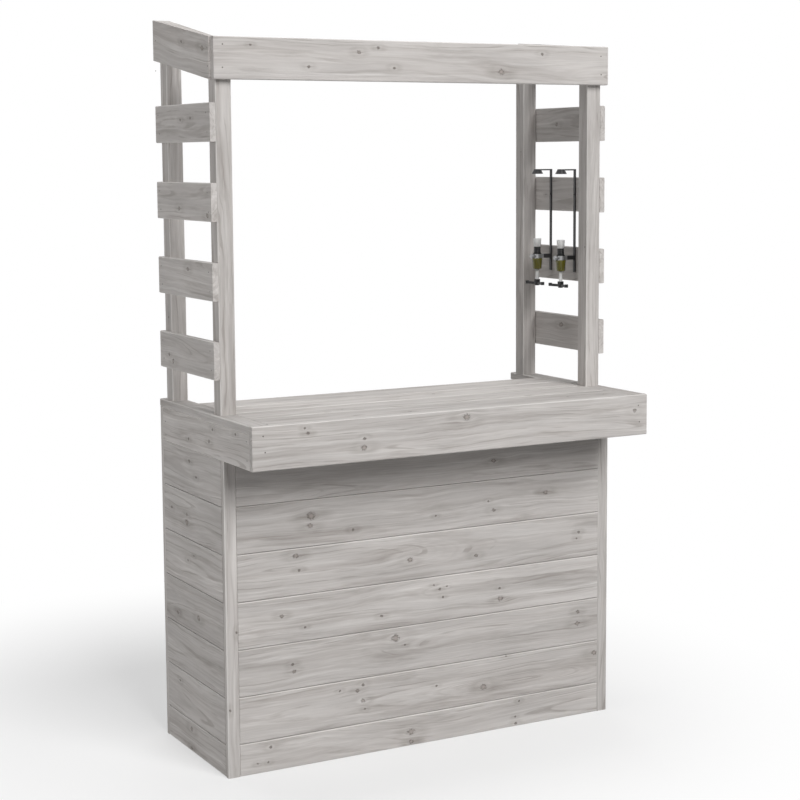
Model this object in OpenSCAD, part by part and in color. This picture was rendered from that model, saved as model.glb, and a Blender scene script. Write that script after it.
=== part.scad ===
/* [Overall] */
// Width of the base and counter
bar_w = 1200; // [1000:10:1500]
// Depth of the boarded base
base_d = 440; // [380:5:560]
// How far the counter reaches out in front of the base
counter_overhang = 185; // [120:5:240]
// Height of the counter's top face
counter_h = 955; // [900:5:1100]
// Height of the header's front top edge above the counter
frame_h = 965; // [850:5:1200]
// How much the header's left side rises from front to rear
left_rise = 65; // [20:1:100]
// How much the header's right side rises from front to rear
right_rise = 31; // [20:1:100]

/* [Timber sections] */
// Side of the square posts of base and frames
post_w = 44; // [38:1:60]
// Side of the square rails, studs and bearers
rail_w = 44; // [30:1:50]
// Thickness of the base boards, trims and counter fascias
board_t = 18; // [14:1:24]
// Thickness of the side slats and header sides
slat_t = 16; // [12:1:20]
// Thickness of the counter's top boards
plank_t = 21; // [18:1:28]
// Thickness of the header's front beam
beam_t = 20; // [14:1:28]
// Eased edge along every planed timber
arris = 2; // [1:0.5:3]

/* [Base boards] */
// Cover height of one base board
board_cover = 126.7; // [100:0.1:150]
// Height of the bottom board, cut down to fit
bottom_board_h = 86; // [60:1:120]
// Open joint between two boards
board_gap = 1.5; // [1:0.5:3]
// Overlap of the rebates of two boards
lap_w = 6; // [4:1:10]
// Width of the vertical corner trims
trim_w = 34; // [28:1:60]
// Distance between the two studs behind the front
stud_spacing = 380; // [300:10:600]

/* [Counter] */
// Height of the front fascia, top board included
fascia_h = 113; // [95:1:150]
// Width of the side boards that carry the frames
side_board_w = 54; // [50:1:90]
// How far the planks stop short of the rear edge
rear_notch = 150; // [120:5:200]
// Planks between the side boards
plank_count = 4; // [2:1:6]
// Distance between the two bearers under the planks
bearer_spacing = 380; // [300:10:600]

/* [Side frames] */
// Inset of the posts from the counter's sides
frame_inset = 10; // [4:1:10]
// Distance of the front posts behind the base's front
frame_front = 34; // [30:1:60]
// Distance of the rear posts from the rear edge
frame_rear = 28; // [10:1:50]
// Height of one slat
slat_w = 99; // [70:1:110]
// Lowest slat above the counter
slat_start = 93; // [60:1:120]
// Highest slat below the header's beam
slat_end = 57; // [30:1:90]
// Height of the header beam and header sides
header_w = 107; // [90:1:120]
// How far the beam's ends stop short of the header sides' outer faces
beam_short = 5; // [0:1:15]
// How far the header sides reach behind the rear posts
header_tail = 7; // [0:1:20]
// Width of the rail on the posts, inside each header side
top_rail_w = 32; // [20:1:44]
// Height of that rail
top_rail_h = 40; // [30:1:60]
// How far that rail starts below the beam's top edge
top_rail_drop = 8; // [0:1:15]

/* [Optic fixture] */
// Distance of the optics' axes from the slats
optic_reach = 50; // [46:1:70]
// First optic behind the front posts' front faces
optic_start = 124; // [110:1:150]
// Distance between the two optics
optic_pitch = 125; // [110:1:150]
// Side of the bracket's back bar, seen from inside
bracket_w = 8; // [6:1:12]
// Thickness of the bracket's metal
bracket_t = 4; // [3:0.5:5]
// Length of the bracket's back bar
bracket_h = 300; // [290:1:340]
// How far the back bar reaches below the second slat's top
bracket_drop = 73; // [60:1:85]
// Radius of the measure's chamber at its top
chamber_r = 15; // [13:0.5:18]
// Height of the measure's chamber
chamber_h = 32; // [24:1:44]
// Radius of the spout that the lever slides on
spout_r = 5; // [4:0.5:7]
// Bare spout left above the lifted lever
spout_spare = 23; // [15:1:35]
// Upward stroke of the lever
lever_stroke = 8; // [5:1:10]
// Length of each of the lever's two arms, from the spout's axis to its tip
arm_len = 48; // [34:1:54]
// Width and height of the lever's arms
arm_w = 7; // [5:0.5:9]
// How far the arms are swept towards the guest, in degrees
arm_sweep = 11; // [0:1:20]
// Height of the lever's hub
hub_h = 15; // [12:1:20]

/* [Hidden] */

timber = "#BDB6B0";
shaded_timber = "#9C9691";
inner_timber = "#A9A39D";
steel = "#4A4A4C";
clear_plastic = "#C9CDD0";
black_plastic = "#1D1D1F";

// The origin is on the ground, in the middle of the counter's width and of the whole depth
half_w = bar_w / 2;
total_d = base_d + counter_overhang;
counter_front = -total_d / 2;
rear = total_d / 2;
base_front = counter_front + counter_overhang;
top_underside = counter_h - plank_t;
fascia_bottom = counter_h - fascia_h;
bearer_bottom = top_underside - rail_w;
rail_top_bottom = bearer_bottom - rail_w;
planks_rear = rear - rear_notch;
inner_post_x = half_w - board_t - post_w;
inner_rail_x = half_w - board_t - rail_w;
base_post_front = base_front + board_t;
base_post_rear = rear - board_t - post_w;
frame_outer = half_w - frame_inset;
frame_y = base_front + frame_front;
frame_back = rear - frame_rear;
header_top = counter_h + frame_h;
header_bottom = header_top - header_w;
header_back = frame_back + header_tail;
header_run = header_back - frame_y;
lap_slack = 0.5;
slats_a_side = 4;
slat_room = frame_h - header_w - slat_end - slat_start - slat_w;
slat_pitch = slat_room / (slats_a_side - 1);
slat_bottoms = [for (i = [0 : slats_a_side - 1]) counter_h + slat_start + i * slat_pitch];

// The optics' heights are counted from the top edge of a slat
optic_x = frame_outer - optic_reach;
optic_slat = 2;
optic_datum = slat_bottoms[optic_slat - 1] + slat_w;
ring_drop = 24;
ring_top = optic_datum - ring_drop;
ring_h = 12;
ring_wall = 3;
neck_r = 12;
neck_taper = 1.5;
neck_h = 24;
grip_r = 9.5;
grip_h = 22;
grip_ridges = 4;
ridge_depth = 1;
flange_h = 3;
lug_reach = 9;
lug_w = 10;
screw_r = 3.5;
screw_len = 20;
chamber_top = ring_top - ring_h;
chamber_bottom = chamber_top - chamber_h;
spout_end = chamber_bottom - spout_spare - lever_stroke - hub_h;
chamber_taper = 2.5;
stop_h = 3;
stop_lip = 2;
stop_r = spout_r + stop_lip;
seat_gap = 0.3;
slide_gap = 0.4;
hub_wall = 3.5;
hub_r = spout_r + slide_gap + hub_wall;
tip_r = arm_w * 0.75;
tip_h = arm_w + 2;
cup_r = 17;
cup_top_r = 10;
cup_h = 10;
through = 1;

// A planed timber along +Z with eased long edges, its section given as width and depth
module planed(size_x, size_y, length) {
    a = min(arris, size_x / 4, size_y / 4);
    linear_extrude(length)
        polygon([
            [a, 0], [size_x - a, 0], [size_x, a], [size_x, size_y - a],
            [size_x - a, size_y], [a, size_y], [0, size_y - a], [0, a]
        ]);
}

// A timber in a box from low to high, its length along X, Y or Z
module timber_box(low, high, along = "z") {
    d = high - low;
    translate(low) {
        if (along == "z")
            planed(d.x, d.y, d.z);
        else if (along == "x")
            rotate([90, 0, 90])
                planed(d.y, d.z, d.x);
        else
            translate([0, d.y, 0])
                rotate([90, 0, 0])
                    planed(d.x, d.z, d.y);
    }
}

// Copies to the right what is drawn for the left side
module on_side(right) {
    mirror([right ? 1 : 0, 0, 0])
        children();
}

// Section of one lapped board, outer face at y = 0, from its bottom joint to its top joint
module lapped_section(low, high, first, last) {
    g = board_gap / 2;
    z0 = first ? low : low + g;
    z1 = last ? high : high - g;
    half = board_t / 2;
    lap_low = first ? [[half, z0]] : [[half - lap_slack, z0], [half - lap_slack, z0 + lap_w]];
    foot = first ? [[board_t, z0]] : [[board_t, z0 + lap_w]];
    head = last ? [[board_t, z1]] : [[board_t, z1 + lap_w - g], [half + lap_slack, z1 + lap_w - g]];
    lap_high = last ? [[half, z1]] : [[half + lap_slack, z1]];
    polygon(concat(
        [[0, z0 + arris], [arris, z0]], lap_low, foot, head, lap_high, [[arris, z1], [0, z1 - arris]]
    ));
}

// Rows of lapped boards, outer faces on the plane y = 0, along +X
module lapped_rows(length, top) {
    rows = ceil((top - bottom_board_h) / board_cover);
    for (i = [0 : rows]) {
        low = i == 0 ? 0 : bottom_board_h + (i - 1) * board_cover;
        high = min(bottom_board_h + i * board_cover, top);
        rotate([90, 0, 90])
            linear_extrude(length)
                lapped_section(low, high, i == 0, i == rows);
    }
}

module base_post(right, at_rear) {
    y = at_rear ? base_post_rear : base_post_front;
    top = at_rear ? top_underside : bearer_bottom;
    color(inner_timber)
        on_side(right)
            timber_box([-inner_post_x - post_w, y, 0], [-inner_post_x, y + post_w, top]);
}

module front_boards() {
    length = bar_w - 2 * trim_w;
    color(timber)
        translate([-length / 2, base_front, 0])
            lapped_rows(length, bearer_bottom);
}

module side_boards(right) {
    length = base_d - 2 * board_t;
    color(shaded_timber)
        on_side(right)
            translate([-half_w, rear - board_t, 0])
                rotate([0, 0, -90])
                    lapped_rows(length, fascia_bottom);
}

module front_trim(right) {
    color(timber)
        on_side(right)
            timber_box([-half_w, base_front, 0], [-half_w + trim_w, base_front + board_t, fascia_bottom]);
}

module rear_trim(right) {
    color(timber)
        on_side(right)
            timber_box([-half_w, rear - board_t, 0], [-half_w + trim_w, rear, top_underside]);
}

module front_rails() {
    color(inner_timber)
        for (z = [0, rail_top_bottom])
            timber_box(
                [-inner_post_x, base_post_front, z],
                [inner_post_x, base_post_front + rail_w, z + rail_w],
                "x"
            );
}

module front_studs() {
    color(inner_timber)
        for (x = [-stud_spacing / 2, stud_spacing / 2])
            timber_box(
                [x - rail_w / 2, base_post_front, rail_w],
                [x + rail_w / 2, base_post_front + rail_w, rail_top_bottom]
            );
}

module side_rail(right) {
    color(inner_timber)
        on_side(right)
            timber_box(
                [-inner_rail_x - rail_w, base_post_front + post_w, 0],
                [-inner_rail_x, base_post_rear, rail_w],
                "y"
            );
}

module counter_cross_rail() {
    color(inner_timber)
        timber_box(
            [-half_w + board_t, planks_rear - rail_w, rail_top_bottom],
            [half_w - board_t, planks_rear, bearer_bottom],
            "x"
        );
}

module counter_bearers() {
    color(inner_timber)
        for (x = [-bearer_spacing / 2, bearer_spacing / 2])
            timber_box(
                [x - rail_w / 2, counter_front + board_t, bearer_bottom],
                [x + rail_w / 2, planks_rear, top_underside],
                "y"
            );
}

module counter_side_bearer(right) {
    color(inner_timber)
        on_side(right)
            timber_box(
                [-inner_rail_x - rail_w, counter_front + board_t, bearer_bottom],
                [-inner_rail_x, base_post_rear, top_underside],
                "y"
            );
}

module counter_front_fascia() {
    color(timber)
        timber_box(
            [-half_w, counter_front, fascia_bottom],
            [half_w, counter_front + board_t, counter_h],
            "x"
        );
}

module counter_side_fascia(right) {
    color(shaded_timber)
        on_side(right)
            timber_box(
                [-half_w, counter_front + board_t, fascia_bottom],
                [-half_w + board_t, rear - board_t, top_underside],
                "y"
            );
}

module counter_side_board(right) {
    color(timber)
        on_side(right)
            timber_box(
                [-half_w, counter_front + board_t, top_underside],
                [-half_w + side_board_w, rear, counter_h],
                "y"
            );
}

module counter_planks() {
    front = counter_front + board_t;
    pitch = (planks_rear - front) / plank_count;
    end_x = half_w - side_board_w;
    color(timber)
        for (i = [0 : plank_count - 1])
            timber_box(
                [-end_x, front + i * pitch + (i == 0 ? 0 : board_gap), top_underside],
                [end_x, front + (i + 1) * pitch, counter_h],
                "x"
            );
}

function side_rise(right) = right ? right_rise : left_rise;

// Height of the rail's underside, on which the posts end, at a distance behind the beam
function rail_foot(right, back) =
    header_top - top_rail_drop - top_rail_h + (side_rise(right) + top_rail_drop) * back / header_run;

// A frame post: square below, its top cut to the slope of the rail on it
module frame_post(right, at_rear) {
    y = at_rear ? frame_back - post_w : frame_y;
    low_top = rail_foot(right, y - frame_y);
    high_top = rail_foot(right, y - frame_y + post_w);
    color(timber)
        on_side(right)
            intersection() {
                timber_box([-frame_outer, y, counter_h], [-frame_outer + post_w, y + post_w, high_top]);
                translate([-frame_outer, 0, 0])
                    rotate([90, 0, 90])
                        linear_extrude(post_w)
                            polygon([
                                [y, counter_h], [y + post_w, counter_h],
                                [y + post_w, high_top], [y, low_top]
                            ]);
            }
}

module slat(right, i) {
    z = slat_bottoms[i - 1];
    color(shaded_timber)
        on_side(right)
            timber_box([-frame_outer - slat_t, frame_y, z], [-frame_outer, frame_back, z + slat_w], "y");
}

module header_front_beam() {
    end_x = frame_outer + slat_t - beam_short;
    color(timber)
        timber_box([-end_x, frame_y - beam_t, header_bottom], [end_x, frame_y, header_top], "x");
}

// A board on edge whose ends stay upright while it rises to the rear, its outer face at x = 0
module rising_board(thickness, front_low, front_high, rear_low, rear_high) {
    rotate([90, 0, 90])
        linear_extrude(thickness)
            polygon([
                [frame_y, front_low], [header_back, rear_low],
                [header_back, rear_high], [frame_y, front_high]
            ]);
}

module header_side(right) {
    rise = side_rise(right);
    color(shaded_timber)
        on_side(right)
            translate([-frame_outer - slat_t, 0, 0])
                rising_board(slat_t, header_bottom, header_top, header_bottom + rise, header_top + rise);
}

// The rail that lies on both posts of a side, inside the header's side
module header_rail(right) {
    front_low = rail_foot(right, 0);
    rear_low = rail_foot(right, header_run);
    color(inner_timber)
        on_side(right)
            translate([-frame_outer, 0, 0])
                rising_board(
                    top_rail_w, front_low, front_low + top_rail_h, rear_low, rear_low + top_rail_h
                );
}

function optic_y(at_rear) = frame_y + optic_start + (at_rear ? optic_pitch : 0);

// A back bar screwed to two slats, a ring that a screw clamps round the measure, and a sprung cup above
module optic_bracket(at_rear) {
    y = optic_y(at_rear);
    bar_low = optic_datum - bracket_drop;
    bar_high = bar_low + bracket_h;
    inner_x = frame_outer - bracket_t;
    color(steel) {
        translate([inner_x, y - bracket_w / 2, bar_low])
            cube([bracket_t, bracket_w, bracket_h]);
        difference() {
            union() {
                translate([optic_x, y, ring_top - ring_h])
                    cylinder(h = ring_h, r = grip_r + ring_wall, $fn = 48);
                translate([optic_x, y - bracket_w / 2, ring_top - ring_h])
                    cube([inner_x - optic_x + bracket_t / 2, bracket_w, ring_h]);
                translate([optic_x - grip_r - ring_wall - lug_reach, y - lug_w / 2, ring_top - ring_h])
                    cube([lug_reach + ring_wall, lug_w, ring_h]);
                translate([optic_x - grip_r - ring_wall - lug_reach / 2, y, ring_top - ring_h / 2])
                    rotate([90, 0, 0])
                        cylinder(h = screw_len, r = screw_r, center = true, $fn = 32);
            }
            translate([optic_x, y, ring_top - ring_h - through])
                cylinder(h = ring_h + 2 * through, r = grip_r, $fn = 48);
        }
        translate([optic_x, y - bracket_w / 2, bar_high - bracket_t])
            cube([inner_x - optic_x + bracket_t / 2, bracket_w, bracket_t]);
        translate([optic_x, y, bar_high - bracket_t - cup_h])
            cylinder(h = cup_h + bracket_t, r1 = cup_r, r2 = cup_top_r, $fn = 48);
    }
}

// Turned profile: spout and stop, chamber, flange on the ring, ridged grip and collar
module optic_measure(at_rear) {
    grip_low = ring_top + flange_h;
    grip_top = ring_top + grip_h;
    ridge_pitch = (grip_top - grip_low) / grip_ridges;
    ridges = [
        for (i = [0 : grip_ridges - 1])
            let (z = grip_low + i * ridge_pitch, groove_top = z + ridge_pitch / 2)
                each [
                    [grip_r, z], [grip_r, groove_top],
                    [grip_r + ridge_depth, groove_top], [grip_r + ridge_depth, z + ridge_pitch]
                ]
    ];
    color(clear_plastic)
        translate([optic_x, optic_y(at_rear), 0])
            rotate_extrude($fn = 48)
                polygon(concat(
                    [[0, spout_end - stop_h], [stop_r, spout_end - stop_h], [stop_r, spout_end]],
                    [[spout_r, spout_end], [spout_r, chamber_bottom]],
                    [[chamber_r - chamber_taper, chamber_bottom], [chamber_r, chamber_top]],
                    [[grip_r, chamber_top], [grip_r, ring_top]],
                    [[grip_r + ring_wall, ring_top], [grip_r + ring_wall, grip_low]],
                    ridges,
                    [[neck_r - neck_taper, grip_top], [neck_r, grip_top + neck_h], [0, grip_top + neck_h]]
                ));
}

// The lever that a glass lifts: a sleeve that slides on the spout, and two swept arms with round tips
module optic_lever(at_rear) {
    color(black_plastic)
        translate([optic_x, optic_y(at_rear), spout_end + seat_gap])
            difference() {
                union() {
                    cylinder(h = hub_h, r = hub_r, $fn = 48);
                    for (side = [-1, 1])
                        rotate([0, 0, side * arm_sweep]) {
                            translate([-arm_w / 2, side > 0 ? 0 : tip_r - arm_len, 0])
                                cube([arm_w, arm_len - tip_r, arm_w]);
                            translate([0, side * (arm_len - tip_r), 0])
                                cylinder(h = tip_h, r = tip_r, $fn = 32);
                        }
                }
                translate([0, 0, -through])
                    cylinder(h = hub_h + 2 * through, r = spout_r + slide_gap, $fn = 48);
            }
}

base_post(false, false);  // base_post_front_left
base_post(true, false);  // base_post_front_right
base_post(false, true);  // base_post_rear_left
base_post(true, true);  // base_post_rear_right
front_boards();
side_boards(false);  // side_boards_left
side_boards(true);  // side_boards_right
front_trim(false);  // front_trim_left
front_trim(true);  // front_trim_right
rear_trim(false);  // rear_trim_left
rear_trim(true);  // rear_trim_right
front_rails();
front_studs();
side_rail(false);  // side_rail_left
side_rail(true);  // side_rail_right
counter_cross_rail();
counter_bearers();
counter_side_bearer(false);  // counter_side_bearer_left
counter_side_bearer(true);  // counter_side_bearer_right
counter_front_fascia();
counter_side_fascia(false);  // counter_side_fascia_left
counter_side_fascia(true);  // counter_side_fascia_right
counter_side_board(false);  // counter_side_board_left
counter_side_board(true);  // counter_side_board_right
counter_planks();
frame_post(false, false);  // frame_post_front_left
frame_post(true, false);  // frame_post_front_right
frame_post(false, true);  // frame_post_rear_left
frame_post(true, true);  // frame_post_rear_right
slat(false, 1);  // slat_left_1
slat(false, 2);  // slat_left_2
slat(false, 3);  // slat_left_3
slat(false, 4);  // slat_left_4
slat(true, 1);  // slat_right_1
slat(true, 2);  // slat_right_2
slat(true, 3);  // slat_right_3
slat(true, 4);  // slat_right_4
header_front_beam();
header_side(false);  // header_side_left
header_side(true);  // header_side_right
header_rail(false);  // header_rail_left
header_rail(true);  // header_rail_right
optic_bracket(false);  // optic_bracket_front
optic_bracket(true);  // optic_bracket_rear
optic_measure(false);  // optic_measure_front
optic_measure(true);  // optic_measure_rear
optic_lever(false);  // optic_lever_front
optic_lever(true);  // optic_lever_rear
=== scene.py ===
"""Outdoor garden bar: grey-washed pine, nail heads, two wall-hung spirit measures, floor, lamps and camera.

Laid out as an add-on and run as a script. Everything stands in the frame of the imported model, in metres:
the origin is on the ground in the middle of the bar, +X runs to a guest's right, +Y to the rear and +Z up.
"""

import math

import bpy
import numpy as np
from mathutils import Matrix, Vector


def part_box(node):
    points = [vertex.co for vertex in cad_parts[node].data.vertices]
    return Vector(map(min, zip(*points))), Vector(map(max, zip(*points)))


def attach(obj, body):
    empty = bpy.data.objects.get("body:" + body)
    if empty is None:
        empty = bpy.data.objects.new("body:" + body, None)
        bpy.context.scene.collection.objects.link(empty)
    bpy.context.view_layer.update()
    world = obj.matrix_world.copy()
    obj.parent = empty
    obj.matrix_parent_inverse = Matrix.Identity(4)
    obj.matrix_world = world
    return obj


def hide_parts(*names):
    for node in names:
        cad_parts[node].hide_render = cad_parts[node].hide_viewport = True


bl_info = {
    "name": "Garden bar finish",
    "version": (1, 0, 0),
    "blender": (4, 5, 0),
    "location": "View3D > Sidebar > Garden bar",
    "description": "Finishes a timber garden bar and sets it on a pale floor",
    "category": "Object",
}

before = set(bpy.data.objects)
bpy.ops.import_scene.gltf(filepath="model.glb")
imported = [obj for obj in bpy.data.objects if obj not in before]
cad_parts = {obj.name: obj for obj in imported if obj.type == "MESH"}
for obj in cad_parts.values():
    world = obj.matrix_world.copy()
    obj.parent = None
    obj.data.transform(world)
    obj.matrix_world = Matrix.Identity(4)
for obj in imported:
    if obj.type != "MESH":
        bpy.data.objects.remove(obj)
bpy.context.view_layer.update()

MM = 0.001
AXES = {"x": 0, "y": 1, "z": 2}
ENDS = ("front", "rear")

# Boards of one node, side by side: grain axis, axis across it, first edge and cover in millimetres, count
ROWS = {
    "front_boards": ("x", "z", -40.7, 126.7, 8),
    "side_boards_left": ("y", "z", -40.7, 126.7, 7),
    "side_boards_right": ("y", "z", -40.7, 126.7, 7),
    "counter_planks": ("x", "y", -294.5, 114.25, 4),
}

# Knots of the boards that face the guest: along the grain, across it, radius, all in millimetres
KNOTS = {
    "front_boards": [
        (213, 774, 6), (-352, 675, 10), (-355, 649, 7), (-228, 625, 4), (196, 660, 3), (213, 634, 5),
        (386, 668, 6), (27, 636, 3), (-398, 573, 7), (-389, 533, 4), (-54, 523, 7), (156, 511, 5),
        (500, 541, 4), (493, 523, 3), (233, 408, 3), (235, 379, 7), (39, 429, 4), (20, 443, 3),
        (62, 435, 3), (49, 406, 3), (-143, 377, 4), (-441, 416, 5), (-373, 377, 3), (498, 306, 5),
        (496, 272, 7), (-101, 310, 10), (-412, 281, 4), (-407, 261, 5), (-72, 287, 3), (-219, 181, 5),
        (-202, 194, 4), (-203, 150, 6), (-197, 126, 3), (27, 157, 3), (180, 131, 8), (255, 210, 3),
        (556, 177, 7), (298, 72, 3), (-272, 187, 3), (-54, 39, 9), (-54, 11, 6), (-479, 66, 4),
        (-517, 27, 3), (-486, 26, 3), (285, 28, 3), (287, 8, 4),
    ],
    "counter_front_fascia": [
        (17, 934, 9), (-288, 878, 7), (-287, 902, 4), (-447, 928, 4), (-455, 942, 3), (559, 912, 5),
    ],
    "header_front_beam": [
        (-190, 1888, 5), (-133, 1900, 4), (-336, 1848, 4), (-86, 1849, 4), (-500, 1900, 3),
        (247, 1844, 8), (380, 1895, 4),
    ],
    "header_side_left": [(-52, 1893, 7), (89, 1917, 4)],
    "counter_side_fascia_left": [(-59, 916, 4), (-35, 882, 5), (107, 870, 4), (-208, 924, 4)],
    "side_boards_left": [
        (131, 659, 5), (132, 637, 8), (129, 534, 4), (61, 389, 7), (211, 372, 5), (125, 63, 7),
        (128, 9, 5), (240, 661, 4), (85, 554, 3), (205, 180, 4), (60, 772, 4), (107, 809, 5),
    ],
    "frame_post_front_left": [(1491, -576, 4)],
    "slat_left_4": [(107, 1716, 4), (37, 1719, 4)],
}

# The header's side boards rise to the rear, and their grain with them: rise over run, in millimetres
SLOPES = {
    "header_side_left": 65 / 385, "header_side_right": 31 / 385,
    "header_rail_left": 73 / 385, "header_rail_right": 39 / 385,
}

# Nails that show, as the two coordinates in the face that they are driven into, in millimetres
NAILS = {
    "counter_front_fascia": ("y", -1, [(-570, 930), (-565, 889), (575, 879), (571, 925)]),
    "header_front_beam": ("y", -1, [(-576, 1900), (-577, 1842), (578, 1842), (577, 1893)]),
    "counter_side_fascia_left": ("x", -1, [(-279, 866), (-276, 914), (276, 895), (274, 858)]),
    "counter_side_fascia_right": ("x", 1, [(-279, 866), (-276, 914), (276, 895), (274, 858)]),
    "header_side_left": ("x", -1, [(-86, 1846), (-84, 1892), (276, 1850), (272, 1930)]),
    "header_side_right": ("x", 1, [(-86, 1846), (-84, 1892), (276, 1850), (272, 1910)]),
}

# Outlines of the spirit measure's turned parts: radius, height above its lowest point, in millimetres
STOP = [(5.2, 0.0), (6.6, 0.2), (7.0, 0.8), (7.0, 2.4), (6.4, 3.2)]
SPOUT = [(3.4, 3.0), (4.8, 3.0), (5.0, 3.4), (5.0, 49.0), (3.4, 49.0)]
CHAMBER = [(10.9, 49.0), (12.0, 49.2), (12.5, 50.0), (14.6, 76.5), (15.0, 77.3), (15.0, 80.0), (14.6, 80.8),
           (9.4, 81.0)]
NECK = [(9.3, 81.0), (9.3, 93.0)]
FLANGE = [(9.4, 93.0), (11.8, 93.0), (12.4, 93.5), (12.4, 95.5), (11.8, 96.0), (9.4, 96.0)]
COLLAR = [(9.4, 115.2), (10.4, 115.2), (11.9, 138.4), (11.6, 139.0), (10.7, 139.0), (9.3, 117.0)]
CONE = [(4.6, 115.4), (5.0, 116.0), (9.0, 137.6), (9.0, 138.6), (7.8, 138.6), (6.0, 134.0)]
GRIP_LOW, GRIP_HIGH, GRIP_RIDGES, GRIP_RADIUS = 96.0, 115.0, 4, 9.5

# Sockets of a Mix node set to colours: its share, the colours that it goes from and to, and its result
SHARE, FROM, TO, MIXED = 0, 6, 7, 2


def linear(hex_colour):
    """A sRGB hex colour as linear red, green, blue and alpha."""
    channels = [int(hex_colour[i : i + 2], 16) / 255 for i in (1, 3, 5)]
    return [c / 12.92 if c <= 0.04045 else ((c + 0.055) / 1.055) ** 2.4 for c in channels] + [1.0]


def add(tree, kind, inputs=(), output=0, **settings):
    """Adds one node with its settings and links, and returns one of its output sockets.

    Inputs are given in order, or by name or place. A socket is linked, and any other value is written in.
    """
    node = tree.nodes.new("ShaderNode" + kind)
    for name, value in settings.items():
        setattr(node, name, value)
    for name, value in inputs.items() if isinstance(inputs, dict) else enumerate(inputs):
        if isinstance(value, bpy.types.NodeSocket):
            tree.links.new(value, node.inputs[name])
        else:
            node.inputs[name].default_value = value
    return node.outputs[output] if node.outputs else None


def new_group(name, inputs, outputs):
    """An empty node group with the given sockets, and its input and output nodes."""
    group = bpy.data.node_groups.new(name, "ShaderNodeTree")
    for socket, kind in inputs:
        group.interface.new_socket(socket, in_out="INPUT", socket_type="NodeSocket" + kind)
    for socket, kind in outputs:
        group.interface.new_socket(socket, in_out="OUTPUT", socket_type="NodeSocket" + kind)
    return group, group.nodes.new("NodeGroupInput").outputs, group.nodes.new("NodeGroupOutput").inputs


def new_material(name):
    """An empty node material."""
    material = bpy.data.materials.new(name)
    material.use_nodes = True
    material.node_tree.nodes.clear()
    return material, material.node_tree


# What a knot passes on to the wood: how far it pushes the grain aside, its distance in radii, its reach
# along the grain, and how much of its pale middle and of its dark tail there is. Without a knot, both
# distances are far.
KNOT_SOCKETS = [(name, "Float") for name in ("Bend", "Near", "Reach", "Eye", "Tail")]
NO_KNOT = (0.0, 99.0, 99.0, 0.0, 0.0)


def knot_group():
    """One knot on a board's face.

    The grain parts round a knot as water round a pile: across the grain it is pushed by -d / max(q, 1),
    where d is the distance across from the knot's centre and q is the square of along / 2.2 r plus that of
    across / r. Bend adds up these pushes, Near and Reach keep the smallest distance and q, and Eye and Tail
    keep the largest.
    """
    group, into, out = new_group("Knot in pine", [("Place", "Vector"), ("Knot", "Vector")] + KNOT_SOCKETS,
                                 KNOT_SOCKETS)
    place = add(group, "SeparateXYZ", [into["Place"]]).node.outputs
    knot = add(group, "SeparateXYZ", [into["Knot"]]).node.outputs
    along = add(group, "Math", [place[0], knot[0]], operation="SUBTRACT")
    across = add(group, "Math", [place[1], knot[1]], operation="SUBTRACT")
    u = add(group, "Math", [along, knot[2]], operation="DIVIDE")
    v = add(group, "Math", [across, knot[2]], operation="DIVIDE")
    v_squared = add(group, "Math", [v, v], operation="MULTIPLY")
    # The parted grain is 2.2 times as long as it is wide, and the knot itself 1.2 times
    long_axis, oval = 2.2, 1.2
    stretched = add(group, "Math", [u, 1 / long_axis], operation="MULTIPLY")
    reach = add(group, "Math", [stretched, stretched, v_squared], operation="MULTIPLY_ADD")
    drag = add(group, "Math", [reach, 1.0], operation="MAXIMUM")
    push = add(group, "Math", [across, drag], operation="DIVIDE")
    flattened = add(group, "Math", [u, 1 / oval], operation="MULTIPLY")
    near = add(group, "Math", [flattened, flattened, v_squared], operation="MULTIPLY_ADD")
    near = add(group, "Math", [near], operation="SQRT")
    # A knot over some 4 mm in radius shows a paler middle
    middle = add(group, "MapRange", [near, 0.85, 0.25, 0.0, 1.0], interpolation_type="SMOOTHSTEP")
    large = add(group, "MapRange", [knot[2], 3.5 * MM, 6 * MM, 0.0, 1.0], interpolation_type="SMOOTHSTEP")
    eye = add(group, "Math", [middle, large], operation="MULTIPLY")
    # The tail is as thin as the knot's middle and six radii long to each side
    thin = add(group, "MapRange", [add(group, "Math", [v], operation="ABSOLUTE"), 0.60, 0.05, 0.0, 1.0],
               interpolation_type="SMOOTHSTEP")
    short = add(group, "MapRange", [add(group, "Math", [u], operation="ABSOLUTE"), 6.0, 0.8, 0.0, 1.0],
                interpolation_type="SMOOTHSTEP")
    tail = add(group, "Math", [thin, short], operation="MULTIPLY")
    for name, value, operation in (
        ("Bend", push, "SUBTRACT"), ("Near", near, "MINIMUM"), ("Reach", reach, "MINIMUM"),
        ("Eye", eye, "MAXIMUM"), ("Tail", tail, "MAXIMUM"),
    ):
        group.links.new(add(group, "Math", [into[name], value], operation=operation), out[name])
    return group


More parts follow.
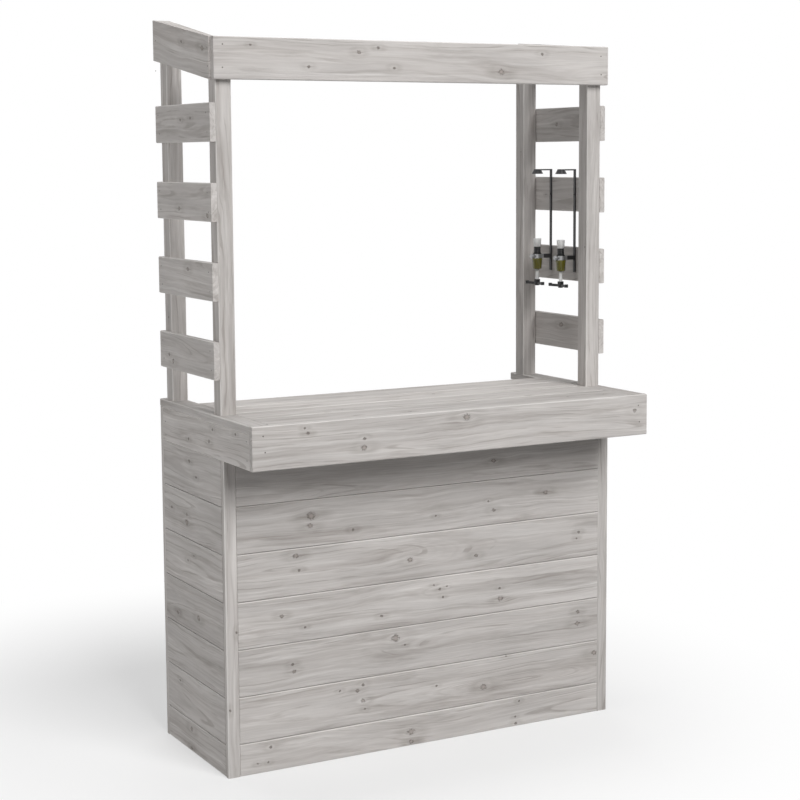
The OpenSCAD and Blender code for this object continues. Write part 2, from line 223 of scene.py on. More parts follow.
def pine_group(settings):
    """Planed knotty pine under a thin grey wash: the colour, roughness and height at a place in a board.

    Growth rings are cylinders round a pith that wanders behind the board, so faces, edges and ends agree:
    ring = sqrt(across squared + depth squared) / ring width, with across bent by the knots.
    """
    group, into, out = new_group(
        "Grey-washed pine", [("Place", "Vector"), ("Seed", "Float")] + KNOT_SOCKETS,
        [("Color", "Color"), ("Roughness", "Float"), ("Height", "Float")])
    # Each board's seed shifts all its patterns by its own, unlike steps, and gives it three chances
    seeds = add(group, "VectorMath", {0: (3.17, 1.73, 5.31), "Scale": into["Seed"]}, operation="SCALE")
    place = add(group, "VectorMath", [into["Place"], seeds], operation="ADD")
    chance = add(group, "TexWhiteNoise", {"W": into["Seed"]}, "Color", noise_dimensions="1D")
    chances = add(group, "SeparateColor", [chance]).node.outputs
    parts = add(group, "SeparateXYZ", [into["Place"]]).node.outputs

    # Unevenness at a place in the board: cells a metre along, across and through it, and detail
    broad = {}
    for name, cells, detail in (("wander", (1.4, 5.0, 5.0), 2.0), ("waver", (7.0, 22.0, 22.0), 2.0),
                                ("pith", (1.0, 2.0, 2.0), 1.0), ("wash", (3.0, 16.0, 16.0), 4.0),
                                ("ragged", (190.0, 230.0, 230.0), 3.0), ("patchy", (9.0, 60.0, 60.0), 3.0)):
        scaled = add(group, "VectorMath", [place, cells], operation="MULTIPLY")
        broad[name] = add(group, "TexNoise", {"Vector": scaled, "Scale": 1.0, "Detail": detail})

    # The grain wanders slowly over half a metre, wavers over a hand's width and parts round the knots
    bent = add(group, "Math", [parts[1], into["Bend"]], operation="ADD")
    sways = {"wander": 0.060, "waver": 0.013}
    for name, amount in sways.items():
        bent = add(group, "Math", [broad[name], amount, bent], operation="MULTIPLY_ADD")
    # Noise averages a half, so half of each sway comes off again
    bent = add(group, "Math", [bent, sum(sways.values()) / 2], operation="SUBTRACT")

    # Rings: cylinders round a pith behind the board, up to half of off_middle to a side of its middle
    off_middle, pith_wander, pith_depth = 0.10, 0.14, 0.03
    across = add(group, "Math", [chances[0], off_middle, bent], operation="MULTIPLY_ADD")
    across = add(group, "Math", [across, off_middle / 2], operation="SUBTRACT")
    pith = add(group, "Math", [broad["pith"], pith_wander, parts[2]], operation="MULTIPLY_ADD")
    depth = add(group, "Math", [pith, pith_depth], operation="SUBTRACT")
    depth_squared = add(group, "Math", [depth, depth], operation="MULTIPLY")
    radius = add(group, "Math", [across, across, depth_squared], operation="MULTIPLY_ADD")
    radius = add(group, "Math", [radius], operation="SQRT")
    start = add(group, "Math", [into["Seed"], 13.7], operation="MULTIPLY")
    ring = add(group, "Math", [radius, 1 / settings.ring_width, start], operation="MULTIPLY_ADD")
    rings = add(group, "TexNoise", {"W": ring, "Scale": 1.0, "Detail": 2.0, "Roughness": 0.6},
                noise_dimensions="1D")
    late = add(group, "MapRange", [rings, 0.44, 0.66, 0.0, 1.0], interpolation_type="SMOOTHSTEP")
    # A ring's late edge is a thin line, drawn twice as wide as the real 1 mm so that it shows
    crisp = add(group, "TexNoise", {"W": ring, "Scale": 1.7, "Detail": 1.0}, noise_dimensions="1D")
    crisp = add(group, "MapRange", [crisp, 0.60, 0.68, 0.0, 1.0], interpolation_type="SMOOTHSTEP")
    here = add(group, "MapRange", [broad["patchy"], 0.40, 0.62, 0.0, 1.0], interpolation_type="SMOOTHSTEP")
    crisp = add(group, "Math", [crisp, here], operation="MULTIPLY")

    # Grain that follows the bent lines: soft bands 12 mm apart, pale and dark streaks, and fibre at 2.6 mm,
    # coarser than the real half millimetre so that it shows. Each has its cells a metre, detail, roughness
    # and twist, and the noise values that count as none and as all
    flow = add(group, "CombineXYZ", [parts[0], bent, parts[2]])
    flow = add(group, "VectorMath", [flow, seeds], operation="ADD")
    grain = {}
    for name, cells, detail, rough, twist, low, high in (
        ("lines", (1.5, 85.0, 85.0), 4.0, 0.68, 0.15, 0.34, 0.70),
        ("fibre", (14.0, 380.0, 380.0), 3.0, 0.65, 0.0, 0.0, 1.0),
        ("streak", (3.0, 40.0, 40.0), 4.0, 0.64, 0.5, 0.50, 0.72),
        ("pale", (2.2, 62.0, 62.0), 4.0, 0.66, 0.3, 0.54, 0.74),
    ):
        scaled = add(group, "VectorMath", [flow, cells], operation="MULTIPLY")
        noise = add(group, "TexNoise", {
            "Vector": scaled, "Scale": 1.0, "Detail": detail, "Roughness": rough, "Distortion": twist})
        grain[name] = add(group, "MapRange", [noise, low, high, 0.0, 1.0])

    # Knots: a ragged dark core, soft at its edge, a pale ring, a tail, and a stain along the grain
    raggedness = 1.9
    near = add(group, "Math", [broad["ragged"], raggedness, into["Near"]], operation="MULTIPLY_ADD")
    near = add(group, "Math", [near, raggedness / 2], operation="SUBTRACT")
    core = add(group, "MapRange", [near, 1.25, 0.55, 0.0, 1.0], interpolation_type="SMOOTHSTEP")
    halo = add(group, "MapRange", [near, 3.4, 1.7, 0.0, 1.0], interpolation_type="SMOOTHSTEP")
    tail = add(group, "Math", [into["Tail"], here], operation="MULTIPLY")
    stain = add(group, "MapRange", [into["Reach"], 14.0, 0.8, 0.0, 1.0], interpolation_type="SMOOTHSTEP")
    stain = add(group, "Math", [stain, grain["lines"]], operation="MULTIPLY")
    rim, eye = linear(settings.knot_rim), linear(settings.knot_eye)
    heart = add(group, "Mix", {SHARE: into["Eye"], FROM: rim, TO: eye}, MIXED, data_type="RGBA")

    # Arrises are planed off at 45 degrees, and on them a painted highlight lightens the colour, unevenly in
    # patches: there two parts of the normal are large together
    normal = add(group, "TexCoord", output="Normal")
    turn = add(group, "SeparateXYZ", [normal]).node.outputs
    turned_normal = add(group, "CombineXYZ", [turn[1], turn[2], turn[0]])
    products = add(group, "VectorMath", [normal, turned_normal], operation="MULTIPLY")
    products = add(group, "VectorMath", [products], operation="ABSOLUTE")
    arris = add(group, "VectorMath", [products, (1, 1, 1)], "Value", operation="DOT_PRODUCT")
    pale_and_highlight = add(group, "MapRange", [arris, 0.28, 0.46, 0.0, 1.0])
    patchy = add(group, "Math", [broad["patchy"], 0.6, 0.6], operation="MULTIPLY_ADD")
    pale_and_highlight = add(group, "Math", [pale_and_highlight, patchy], operation="MULTIPLY")

    # Layers over the wash, each with its place, its strongest share and its colour
    colour = linear(settings.wash)
    for factor, share, over in (
        (late, 0.30, linear(settings.latewood)), (grain["lines"], 0.50, linear(settings.latewood)),
        (grain["streak"], 0.60, linear(settings.streak)), (grain["pale"], 0.50, linear(settings.pale_and_highlight)),
        (crisp, 0.55, linear(settings.streak)), (halo, 0.15, linear(settings.pale_and_highlight)),
        (stain, 0.50, linear(settings.stain)), (tail, 0.60, linear(settings.stain)), (core, 0.85, heart),
        # Last layer: the painted highlight on the arrises; the pale streaks and the knots' pale rings above
        # are the wood's own colour
        (pale_and_highlight, 0.60, linear(settings.pale_and_highlight)),
    ):
        factor = add(group, "Math", [factor, share], operation="MULTIPLY")
        colour = add(group, "Mix", {SHARE: factor, FROM: colour, TO: over}, MIXED, data_type="RGBA")
    # The wash lies unevenly, the fibre takes it in lines, and a board is darker than others by up to spread
    spread = 0.14
    light = add(group, "Math", [broad["wash"], 0.48, 0.70], operation="MULTIPLY_ADD")
    light = add(group, "Math", [grain["fibre"], 0.26, light], operation="MULTIPLY_ADD")
    light = add(group, "Math", [chances[1], spread, light], operation="MULTIPLY_ADD")
    light = add(group, "Math", [light, spread], operation="SUBTRACT")
    grey = add(group, "CombineColor", [light, light, light])
    shaded = add(group, "Mix", {SHARE: 1.0, FROM: colour, TO: grey}, MIXED,
                 data_type="RGBA", blend_type="MULTIPLY")
    group.links.new(shaded, out["Color"])

    # Matt wash, a little less glossy on hard latewood and along the fibre
    rough = add(group, "Math", [late, 0.10, 0.58], operation="MULTIPLY_ADD")
    rough = add(group, "Math", [grain["fibre"], 0.12, rough], operation="MULTIPLY_ADD")
    group.links.new(rough, out["Roughness"])
    # Fibre and knots stand up, and the hard late edges of the rings lie lower
    height = add(group, "Math", [grain["fibre"], 0.5], operation="MULTIPLY")
    height = add(group, "Math", [late, -0.5, height], operation="MULTIPLY_ADD")
    height = add(group, "Math", [crisp, -0.4, height], operation="MULTIPLY_ADD")
    height = add(group, "Math", [core, 0.3, height], operation="MULTIPLY_ADD")
    group.links.new(height, out["Height"])
    return group


def board_layout(name):
    """A timber's axes (grain, width, thickness), its box, and its rows' start, cover and count."""
    low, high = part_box(name)
    size = high - low
    if name in ROWS:
        along, across, start, pitch, count = ROWS[name]
        axes = [AXES[along], AXES[across]]
        start, pitch = start * MM, pitch * MM
    else:
        axes = [int(i) for i in np.argsort([-s for s in size], kind="stable")[:2]]
        # A sloping board's grain lines leave its box by up to 80 mm
        margin = 80 * MM if name in SLOPES else MM
        start, pitch, count = low[axes[1]] - margin, size[axes[1]] + 2 * margin, 1
    axes.append(3 - sum(axes))
    return axes, low, high, start, pitch, count


def chosen_knots(name, axes, low, high, start, pitch, count, rng):
    """The knots of each row, in board coordinates: listed ones, or a few by chance on a hidden side."""
    rows = [[] for _ in range(count)]
    middle = (low[axes[0]] + high[axes[0]]) / 2
    if name in KNOTS:
        for along, across, radius in KNOTS[name]:
            rise = SLOPES.get(name, 0) * along * MM
            row = min(count - 1, max(0, math.floor((across * MM - rise - start) / pitch)))
            local = across * MM - rise - start - (row + 0.5) * pitch
            rows[row].append((along * MM - middle, local, radius * MM))
        return rows
    length, width = high[axes[0]] - low[axes[0]], min(pitch, high[axes[1]] - low[axes[1]])
    # A batten has fewer and smaller knots than a board, and none lies right at an end or an edge
    fewest, spacing, largest = (0, 0.9, 4) if width < 60 * MM else (1, 0.45, 7)
    smallest, along_share, across_share = 2, 0.47, 0.36
    for row in rows:
        for _ in range(int(rng.integers(fewest, 2 + round(length / spacing)))):
            row.append((rng.uniform(-along_share, along_share) * length,
                        rng.uniform(-across_share, across_share) * width,
                        rng.uniform(smallest, largest) * MM))
    return rows


def knot_table(tree, share, knots):
    """The k-th knot of each row, looked up by the row's share: a ramp with one flat step a row.

    Red, green and blue hold the place along the board (-0.65 to 0.65 m), across it (-0.07 to 0.07 m) and
    the radius (0 to 0.02 m), each as a share of its span from its lowest value.
    """
    spans = ((1.3, -0.65), (0.14, -0.07), (0.02, 0.0))
    ramp = add(tree, "ValToRGB", [share])
    ramp.node.color_ramp.interpolation = "CONSTANT"
    stops = ramp.node.color_ramp.elements
    while len(stops) < len(knots):
        stops.new(0.5)
    # A row with fewer knots has one too small to show beyond its end
    nowhere = (0.64, 0.0, 0.0001)
    for i, knot in enumerate(knots):
        stops[i].position = i / len(knots)
        stops[i].color = [(value - low) / span for value, (span, low) in zip(knot or nowhere, spans)] + [1]
    parts = add(tree, "SeparateColor", [ramp]).node.outputs
    return add(tree, "CombineXYZ", [add(tree, "Math", [part, span, low], operation="MULTIPLY_ADD")
                                    for part, (span, low) in zip(parts, spans)])


def pine_material(name, pine, knot):
    """Grey-washed pine for one node, with its own grain direction, boards and knots."""
    seed = 1 + sorted(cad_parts).index(name)
    rng = np.random.default_rng(seed)
    axes, low, high, start, pitch, count = board_layout(name)
    rows = chosen_knots(name, axes, low, high, start, pitch, count, rng)

    material, tree = new_material("Grey-washed pine, " + name.replace("_", " "))
    place = add(tree, "TexCoord", output="Object")
    split = add(tree, "SeparateXYZ", [place]).node.outputs
    along, across, through = (split[a] for a in axes)
    across = add(tree, "Math", [along, -SLOPES.get(name, 0.0), across], operation="MULTIPLY_ADD")
    step = add(tree, "Math", [across, 1 / pitch, -start / pitch], operation="MULTIPLY_ADD")
    row = add(tree, "Math", [step], operation="FLOOR")
    part = add(tree, "Math", [step], operation="FRACT")
    local = add(tree, "CombineXYZ", [
        add(tree, "Math", [along, (low[axes[0]] + high[axes[0]]) / 2], operation="SUBTRACT"),
        add(tree, "Math", [part, pitch, -pitch / 2], operation="MULTIPLY_ADD"),
        add(tree, "Math", [through, (low[axes[2]] + high[axes[2]]) / 2], operation="SUBTRACT"),
    ])

    found = NO_KNOT
    share = add(tree, "Math", [row, 1 / count, 0.5 / count], operation="MULTIPLY_ADD")
    for k in range(max(len(r) for r in rows)):
        kth = [knots[k] if k < len(knots) else None for knots in rows]
        centre = kth[0] if count == 1 else knot_table(tree, share, kth)
        found = add(tree, "Group", [local, centre, *found], node_tree=knot).node.outputs
    # Any two boards, of one node or of two, get numbers of their own
    number = add(tree, "Math", [row, 3.71, seed * 1.37], operation="MULTIPLY_ADD")
    wood = add(tree, "Group", [local, number, *found], node_tree=pine).node.outputs
    bump = add(tree, "Bump", {"Strength": 0.5, "Distance": 0.0006, "Height": wood["Height"]})
    surface = add(tree, "BsdfPrincipled", {
        "Base Color": wood["Color"], "Roughness": wood["Roughness"], "Specular IOR Level": 0.3,
        "Normal": bump})
    add(tree, "OutputMaterial", [surface])
    return material


def fine_material(name, colour, roughness, grit=0.1, per_metre=900.0, **sockets):
    """A moulded, turned or coated surface whose colour, gloss and height vary with a fine grain."""
    material, tree = new_material(name)
    place = add(tree, "TexCoord", output="Object")
    fine = add(tree, "TexNoise", {"Vector": place, "Scale": per_metre, "Detail": 2.0, "Roughness": 0.6})
    # The tone varies by some 15 percent over 25 grains, and the gloss by 0.08 from grain to grain
    broad = add(tree, "TexNoise", {"Vector": place, "Scale": per_metre / 25, "Detail": 2.0})
    shade = add(tree, "Math", [broad, 0.3, 0.85], operation="MULTIPLY_ADD")
    grey = add(tree, "CombineColor", [shade, shade, shade])
    tinted = add(tree, "Mix", {SHARE: 1.0, FROM: linear(colour), TO: grey}, MIXED,
                 data_type="RGBA", blend_type="MULTIPLY")
    rough = add(tree, "Math", [fine, 0.16, roughness - 0.08], operation="MULTIPLY_ADD")
    bump = add(tree, "Bump", {"Strength": grit, "Distance": 0.0002, "Height": fine})
    surface = add(tree, "BsdfPrincipled", {
        "Base Color": tinted, "Roughness": rough, "Normal": bump,
        **{key.replace("_", " "): value for key, value in sockets.items()}})
    add(tree, "OutputMaterial", [surface])
    return material


def bracket_material():
    """Steel bracket, coated black all over but for its clamped ring, whose zinc is left bright."""
    material, tree = new_material("Black-coated and bright-zinc steel")
    place = add(tree, "TexCoord", output="Object")
    split = add(tree, "SeparateXYZ", [place]).node.outputs
    # An arm holds the ring off the bracket's bar, and its coating ends 30 mm from the slats
    arm_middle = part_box("optic_bracket_front")[1].x - 30 * MM
    ring_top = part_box("optic_measure_front")[0].z + NECK[1][1] * MM
    past_ring = add(tree, "MapRange", [split[0], arm_middle, arm_middle + MM, 0.0, 1.0])
    above_ring = add(tree, "MapRange", [split[2], ring_top + MM, ring_top + 2 * MM, 0.0, 1.0])
    coated = add(tree, "Math", [past_ring, above_ring], operation="MAXIMUM")
    fine = add(tree, "TexNoise", {"Vector": place, "Scale": 1100.0, "Detail": 3.0})
    grey = add(tree, "Mix", {SHARE: fine, FROM: linear("#8E8F90"), TO: linear("#A9AAAB")}, MIXED,
               data_type="RGBA")
    black = add(tree, "Mix", {SHARE: fine, FROM: linear("#232325"), TO: linear("#2F2F31")}, MIXED,
                data_type="RGBA")
    colour = add(tree, "Mix", {SHARE: coated, FROM: grey, TO: black}, MIXED, data_type="RGBA")
    metal = add(tree, "MapRange", [coated, 0.0, 1.0, 0.8, 0.0])
    rough = add(tree, "Math", [fine, 0.2, 0.28], operation="MULTIPLY_ADD")
    bump = add(tree, "Bump", {"Strength": 0.15, "Distance": 0.0002, "Height": fine})
    surface = add(tree, "BsdfPrincipled", {
        "Base Color": colour, "Metallic": metal, "Roughness": rough, "Normal": bump})
    add(tree, "OutputMaterial", [surface])
    return material


def dress(node_name, material):
    """Gives a CAD node its finish."""
    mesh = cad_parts[node_name].data
    mesh.materials.clear()
    mesh.materials.append(material)


def piece(name, points, faces, material, body):
    """A smooth mesh object with its place in its mesh, riding on a body."""
    mesh = bpy.data.meshes.new(name)
    mesh.from_pydata(points.tolist(), [], faces)
    mesh.update()
    mesh.polygons.foreach_set("use_smooth", [True] * len(mesh.polygons))
    mesh.materials.append(material)
    made = bpy.data.objects.new(name, mesh)
    bpy.context.scene.collection.objects.link(made)
    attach(made, body)
    return made


def turned(profile, centre=(0, 0, 0), segments=48, closed=False):
    """A profile of (radius, height) in millimetres turned about a vertical axis.

    At angle t a point lies at centre + (r cos t, r sin t, z). Quads join the rows, which run upwards on the
    outside. Where the profile doesn't close on itself, a fan of triangles closes each end.
    """
    profile = np.asarray(profile, float) * MM
    t = np.arange(segments) * 2 * math.pi / segments
    radius, height = profile[:, :1], np.repeat(profile[:, 1:], segments, 1)
    points = np.stack([radius * np.cos(t), radius * np.sin(t), height], 2).reshape(-1, 3)
    rows = len(profile)
    i, j = (a.ravel() for a in np.meshgrid(np.arange(rows if closed else rows - 1), np.arange(segments),
                                           indexing="ij"))
    k, m = (i + 1) % rows * segments, (j + 1) % segments
    faces = np.stack([i * segments + j, i * segments + m, k + m, k + j], 1).tolist()
    if not closed:
        base, top = rows * segments, (rows - 1) * segments
        points = np.vstack([points, [[0, 0, profile[0, 1]], [0, 0, profile[-1, 1]]]])
        faces += [[base, (j + 1) % segments, j] for j in range(segments)]
        faces += [[base + 1, top + j, top + (j + 1) % segments] for j in range(segments)]
    return points + np.asarray(centre, float), faces


def set_about(form, places, ways):
    """The same small form at each place, with its own +Z turned to the way given there.

    With b and c square to the way and to each other, a point (x, y, z) goes to place + x b + y c + z way.
    """
    points, faces = form
    places, ways = np.asarray(places, float), np.asarray(ways, float)
    # Any axis that isn't along the way gives the two square to it
    helper = np.where(np.abs(ways[:, 2:]) < 0.9, [[0.0, 0.0, 1.0]], [[1.0, 0.0, 0.0]])
    b = np.cross(ways, helper)
    b /= np.linalg.norm(b, axis=1, keepdims=True)
    basis = np.stack([b, np.cross(ways, b), ways], 1)
    spread = np.einsum("pk,nkj->npj", points, basis) + places[:, None]
    count = len(points)
    copies = [[v + n * count for v in face] for n in range(len(places)) for face in faces]
    return spread.reshape(-1, 3), copies


class GardenBarSettings(bpy.types.PropertyGroup):
    """Sizes and colours a maker may want to change."""

    wash: bpy.props.StringProperty(
        name="Wash", description="Colour of the pale wood between the rings", default="#C9C5C2")
    latewood: bpy.props.StringProperty(
        name="Latewood", description="Colour of the hard, darker part of each ring", default="#ABA5A1")
    streak: bpy.props.StringProperty(
        name="Streak", description="Colour of the darker streaks along the grain", default="#958E89")
    stain: bpy.props.StringProperty(
        name="Stain", description="Colour of the wood round a knot", default="#87807A")
    # Pale streaks and the knots' pale rings take this colour as the wood's own, and the arrises take it as a
    # painted highlight
    pale_and_highlight: bpy.props.StringProperty(
        name="Pale and highlight", default="#E2DFDC",
        description="Colour of pale streaks and of arrises where the wash is rubbed")
    knot_rim: bpy.props.StringProperty(
        name="Knot rim", description="Colour of a knot's outer part", default="#6C6560")
    knot_eye: bpy.props.StringProperty(
        name="Knot eye", description="Colour of a large knot's middle", default="#A09892")
    ring_width: bpy.props.FloatProperty(
        name="Ring width", default=0.008, min=0.002, max=0.03, unit="LENGTH",
        description="Width of one growth ring, drawn coarser than the real 3 mm so that it shows")
    nail_radius: bpy.props.FloatProperty(
        name="Nail radius", default=0.002, min=0.001, max=0.004, unit="LENGTH",
        description="Radius of a nail's head")


class BAR_OT_timber(bpy.types.Operator):
    """Give every board, post and rail its grey-washed pine."""

    bl_idname = "bar.timber"
    bl_label = "Finish the timber"

    def execute(self, context):
        pine, knot = pine_group(context.scene.garden_bar), knot_group()
        for name in sorted(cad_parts):
            if not name.startswith("optic_"):
                dress(name, pine_material(name, pine, knot))
        return {"FINISHED"}


class BAR_OT_nails(bpy.types.Operator):
    """Drive the nails whose heads show in the fascias, the header and the slats."""

    bl_idname = "bar.nails"
    bl_label = "Drive the nails"

    def execute(self, context):
        places, ways = [], []
        for name, (axis, sign, spots) in NAILS.items():
            self.drive(name, AXES[axis], sign, [(u * MM, v * MM) for u, v in spots], places, ways)
        for side, sign in (("left", -1), ("right", 1)):
            for i in range(1, 5):
                low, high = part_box("slat_%s_%d" % (side, i))
                # Two nails a post, a quarter in from the slat's edges and a little out of line
                quarter = (high.z - low.z) / 4
                spots = []
                for end in ENDS:
                    post_low, post_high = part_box("frame_post_%s_%s" % (end, side))
                    middle = (post_low.y + post_high.y) / 2
                    spots += [(middle - 3 * MM, low.z + quarter), (middle + 4 * MM, high.z - quarter)]
                self.drive("slat_%s_%d" % (side, i), 0, sign, spots, places, ways)
        # Heads lie flush: a twentieth of a millimetre proud, with their edge let in
        r = context.scene.garden_bar.nail_radius / MM
        head = turned([(r, -0.3), (r, 0.02), (0.8 * r, 0.04), (0.4 * r, 0.05)], segments=12)
        points, faces = set_about(head, places, ways)
        # Round wire nails, dulled by the wash: dark grey and almost matt
        steel = fine_material("Washed-over wire nail steel", "#6A6561", 0.55, grit=0.2, Metallic=0.3)
        piece("nail_heads", points, faces, steel, "bar")
        return {"FINISHED"}

    def drive(self, name, axis, sign, spots, places, ways):
        """Adds the places and outward ways of nails in one flat face of a node."""
        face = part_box(name)[1 if sign > 0 else 0][axis]
        for u, v in spots:
            place = [u, v]
            place.insert(axis, face)
            places.append(place)
            ways.append([sign if i == axis else 0 for i in range(3)])


class BAR_OT_optics(bpy.types.Operator):
    """Make the spirit measures' parts, and finish brackets and levers."""

    bl_idname = "bar.optics"
    bl_label = "Make the optics"

    def execute(self, context):
        bracket = bracket_material()
        # Moulded plastics with a faint grain from the mould: soft-glossy black, milky and half clear, white,
        # and a glossy olive that light passes into
        black = fine_material("Black moulded ABS", "#0D0D0E", 0.34, Specular_IOR_Level=0.35)
        clear = fine_material(
            "Milky moulded acrylic", "#F6F6F5", 0.34, grit=0.05, Transmission_Weight=0.2, IOR=1.49)
        white = fine_material("White moulded polypropylene", "#DEDDD9", 0.38)
        olive = fine_material(
            "Olive-tinted moulded acrylic", "#6A6616", 0.22, grit=0.03, Transmission_Weight=0.35, IOR=1.49)
        parts = (
            ("stop", STOP, False, black, "optic_black_plastic"),
            ("spout", SPOUT, True, clear, "optic_clear_plastic"),
            ("chamber", CHAMBER, False, olive, "optic_clear_plastic"),
            ("neck", NECK, False, clear, "optic_clear_plastic"),
            ("flange", FLANGE, True, black, "optic_black_plastic"),
            ("grip", self.grip_outline(), False, black, "optic_black_plastic"),
            ("collar", COLLAR, True, clear, "optic_clear_plastic"),
            ("cone", CONE, True, white, "optic_clear_plastic"),
        )
        for end in ENDS:
            low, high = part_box("optic_measure_" + end)
            foot = ((low.x + high.x) / 2, (low.y + high.y) / 2, low.z)
            for name, outline, closed, material, slot in parts:
                points, faces = turned(outline, foot, closed=closed)
                made = piece("measure_%s_%s" % (name, end), points, faces, material, "bar")
                if name == "chamber":
                    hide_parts("optic_measure_" + end)
            dress("optic_bracket_" + end, bracket)
            dress("optic_lever_" + end, black)
        self.screws(black)
        return {"FINISHED"}

    def grip_outline(self):
        """The ribbed grip, whose radius swells by 1 mm at each of four ridges, as 1 - cos up its height."""
        s = np.linspace(0, 1, 33)
        swell = (1 - np.cos(2 * math.pi * GRIP_RIDGES * s)) / 2
        return np.stack([GRIP_RADIUS + swell, GRIP_LOW + (GRIP_HIGH - GRIP_LOW) * s], 1)

    def screws(self, material):
        """Two pan-head screws hold each bracket's bar to the slats."""
        places, bar_thickness = [], 4 * MM
        for end in ENDS:
            low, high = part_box("optic_bracket_" + end)
            for slat in ("slat_right_2", "slat_right_3"):
                slat_low, slat_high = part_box(slat)
                middle = (max(low.z, slat_low.z) + min(high.z, slat_high.z)) / 2
                places.append((high.x - bar_thickness, (low.y + high.y) / 2, middle))
        # A pan head, 6.4 mm wide, let in a little at its foot
        head = turned([(3.2, -0.2), (3.2, 0.6), (2.8, 1.2), (1.6, 1.6), (0.6, 1.7)], segments=20)
        points, faces = set_about(head, places, [(-1, 0, 0)] * len(places))
        piece("bracket_screws", points, faces, material, "bar")


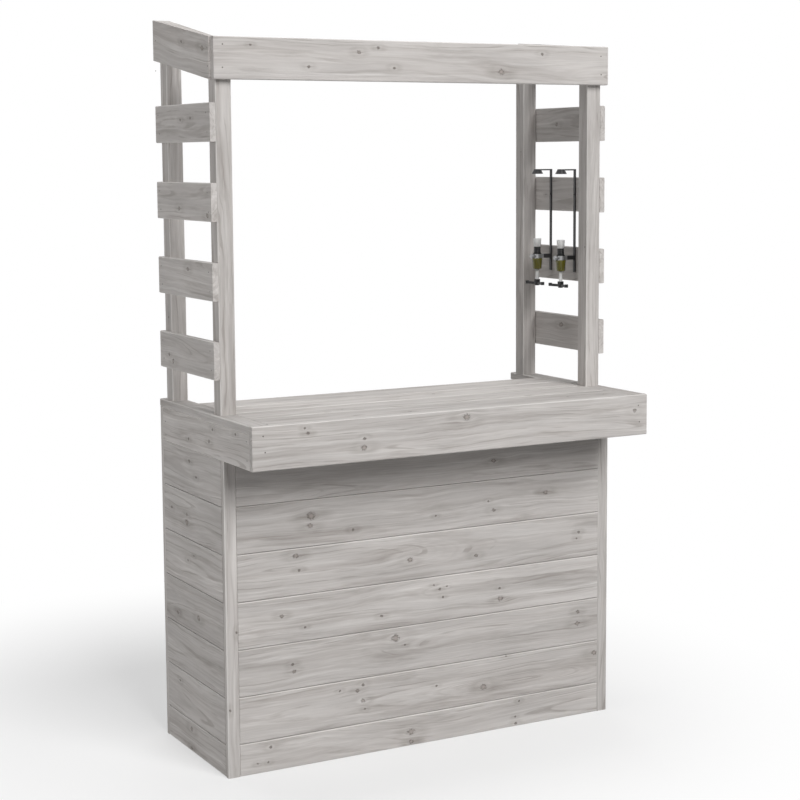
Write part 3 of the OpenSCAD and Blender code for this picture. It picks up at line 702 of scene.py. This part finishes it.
class BAR_OT_stage(bpy.types.Operator):
    """Set the camera, the pale floor, the lamps and the white surroundings."""

    bl_idname = "bar.stage"
    bl_label = "Set the stage"

    def execute(self, context):
        scene = context.scene
        self.camera(scene)
        self.floor(scene)
        self.world(scene)
        # Lamps: the way each lies in from the bar's middle, its distance and width in metres, and its power
        middle = Vector((0, 0, 0.9))
        for name, way, distance, size, watts in (
            ("Key lamp", (0.10, -0.90, 0.62), 12.0, 7.2, 1390.0),
            ("Left lamp", (-1.00, 0.0, 0.15), 12.0, 4.8, 430.0),
            ("Top lamp", (0.0, 0.3, 1.0), 10.0, 5.0, 370.0),
        ):
            lamp = bpy.data.lights.new(name, "AREA")
            lamp.shape, lamp.size, lamp.energy = "SQUARE", size, watts
            holder = bpy.data.objects.new(name, lamp)
            aim = Vector(way).normalized()
            holder.location = middle + aim * distance
            holder.rotation_mode = "QUATERNION"
            holder.rotation_quaternion = aim.to_track_quat("Z", "Y")
            scene.collection.objects.link(holder)
        scene.view_settings.view_transform = "Standard"
        return {"FINISHED"}

    def camera(self, scene):
        """The photograph's camera: 28.5 degrees to the right of +Y, looking 6.6 degrees down."""
        heading, pitch, roll = math.radians(28.511), math.radians(-6.588), math.radians(0.380)
        ahead = Vector((
            math.sin(heading) * math.cos(pitch), math.cos(heading) * math.cos(pitch), math.sin(pitch)))
        right = Vector((math.cos(heading), -math.sin(heading), 0))
        down = ahead.cross(right)
        side = right * math.cos(roll) + down * math.sin(roll)
        up = right * math.sin(roll) - down * math.cos(roll)
        # Lens and shift were fitted in pixels of a picture of this width
        frame_px = 800
        lens = bpy.data.cameras.new("Camera")
        lens.sensor_width = 36
        lens.lens = 1787.5 / frame_px * lens.sensor_width
        lens.shift_x, lens.shift_y = 3.34 / frame_px, -36.82 / frame_px
        camera = bpy.data.objects.new("Camera", lens)
        turn = Matrix((side, up, -ahead)).transposed().to_4x4()
        camera.matrix_world = Matrix.Translation((-2.3677, -4.3170, 1.6160)) @ turn
        scene.collection.objects.link(camera)
        scene.camera = camera

    def floor(self, scene):
        """A pale floor that keeps soft shadows and runs out into white."""
        reach = 9.0
        corners = [[-reach, -reach, 0], [reach, -reach, 0], [reach, reach, 0], [-reach, reach, 0]]
        mesh = bpy.data.meshes.new("Floor")
        mesh.from_pydata(corners, [], [[0, 1, 2, 3]])
        material, tree = new_material("Pale studio floor")
        place = add(tree, "TexCoord", output="Object")
        # The shadows are deepest to the left and behind, so the fade into white starts from there:
        # 45 percent white up to 0.6 m from that point, and all white from 1.7 m on
        shaded_most = (-0.22, 0.36, 0)
        far = add(tree, "VectorMath", [place, shaded_most], "Value", operation="DISTANCE")
        fade = add(tree, "MapRange", [far, 0.6, 1.7, 0.45, 1.0], interpolation_type="SMOOTHSTEP")
        # The camera sees a paint of 0.88, and the light that bounces up from it meets one of 0.46
        seen = self.seen(tree)
        pale = add(tree, "Math", [seen, 0.42, 0.46], operation="MULTIPLY_ADD")
        paint = add(tree, "CombineColor", [pale, pale, pale])
        matt = add(tree, "BsdfDiffuse", {"Color": paint})
        white = add(tree, "Emission", {"Color": (1, 1, 1, 1), "Strength": 1.0})
        share = add(tree, "Math", [seen, fade], operation="MULTIPLY")
        add(tree, "OutputMaterial", [add(tree, "MixShader", [share, matt, white])])
        mesh.materials.append(material)
        floor = bpy.data.objects.new("Floor", mesh)
        scene.collection.objects.link(floor)

    def world(self, scene):
        """Even soft light from all round, seen as white by the camera, in gloss and through plastic."""
        world = bpy.data.worlds.new("Soft light")
        scene.world = world
        world.use_nodes = True
        tree = world.node_tree
        tree.nodes.clear()
        soft = add(tree, "Background", {"Color": (1, 1, 1, 1), "Strength": 0.03})
        white = add(tree, "Background", {"Color": (1, 1, 1, 1), "Strength": 1.0})
        add(tree, "OutputWorld", [add(tree, "MixShader", [self.seen(tree), soft, white])])

    def seen(self, tree):
        """1 for a ray from the camera, from gloss or through plastic, and 0 for one that carries light."""
        path = add(tree, "LightPath").node.outputs
        through = add(tree, "Math", [path["Is Glossy Ray"], path["Is Transmission Ray"]],
                      operation="MAXIMUM")
        return add(tree, "Math", [path["Is Camera Ray"], through], operation="MAXIMUM")


class BAR_PT_panel(bpy.types.Panel):
    """Lists the bar's steps and settings."""

    bl_idname = "BAR_PT_panel"
    bl_label = "Garden bar"
    bl_space_type = "VIEW_3D"
    bl_region_type = "UI"
    bl_category = "Garden bar"

    def draw(self, context):
        for step in STEPS:
            self.layout.operator(step.bl_idname)
        for name in GardenBarSettings.__annotations__:
            self.layout.prop(context.scene.garden_bar, name)


STEPS = (BAR_OT_stage, BAR_OT_timber, BAR_OT_nails, BAR_OT_optics)
CLASSES = (GardenBarSettings, *STEPS, BAR_PT_panel)


def register():
    for kind in CLASSES:
        bpy.utils.register_class(kind)
    bpy.types.Scene.garden_bar = bpy.props.PointerProperty(type=GardenBarSettings)


def unregister():
    del bpy.types.Scene.garden_bar
    for kind in reversed(CLASSES):
        bpy.utils.unregister_class(kind)


def main():
    register()
    for step in STEPS:
        group, action = step.bl_idname.split(".")
        getattr(getattr(bpy.ops, group), action)()


if __name__ == "__main__":
    main()
